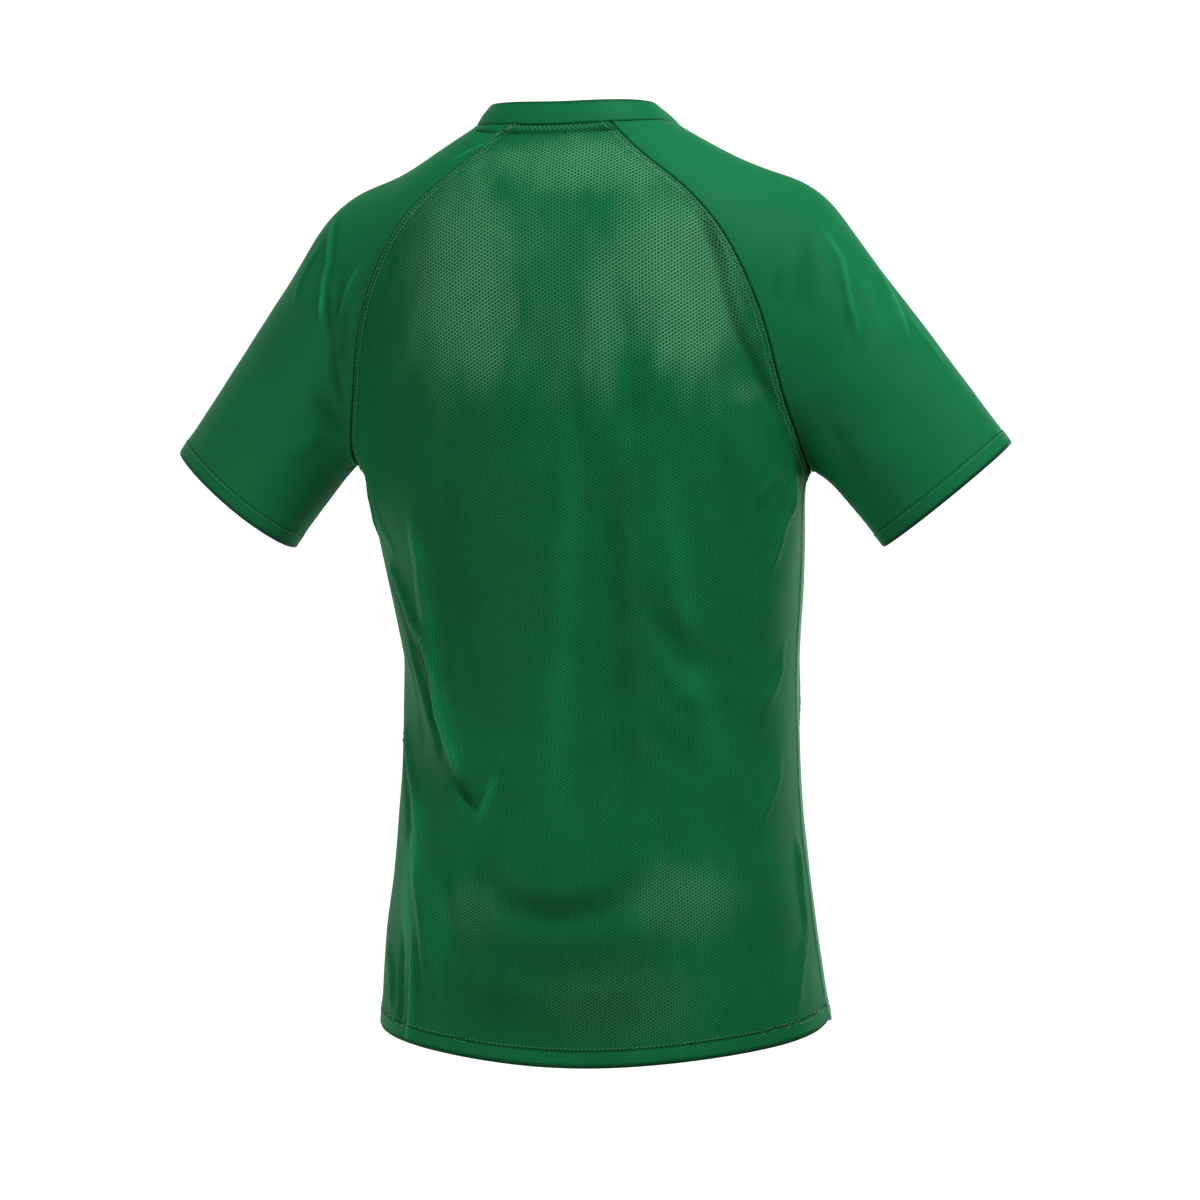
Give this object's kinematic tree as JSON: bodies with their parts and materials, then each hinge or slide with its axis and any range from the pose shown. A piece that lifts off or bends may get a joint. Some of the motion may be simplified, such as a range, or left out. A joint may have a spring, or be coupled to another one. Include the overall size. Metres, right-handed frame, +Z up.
{
  "type": "football jersey",
  "caption": "Short-sleeved raglan football jersey with a crew collar, filled out as worn and hollow, open at neck, cuffs and hem.",
  "frame": {"origin": "middle of the shoulder line at the base of the neck, where the wearer's shoulders carry the jersey", "axes": "+Z up, the front faces -Y, +X to the wearer's left"},
  "size_m": [0.6459, 0.2637, 0.7039],
  "materials": {
    "eyelet_knit": "matt eyelet polyester knit, dyed green",
    "plain_knit": "smooth polyester interlock knit with a soft sheen, dyed green"
  },
  "bodies": {
    "root": {"back": "eyelet_knit", "front": "plain_knit", "sleeve_left": "plain_knit", "sleeve_right": "plain_knit", "collar": "plain_knit"}
  },
  "joints": []
}
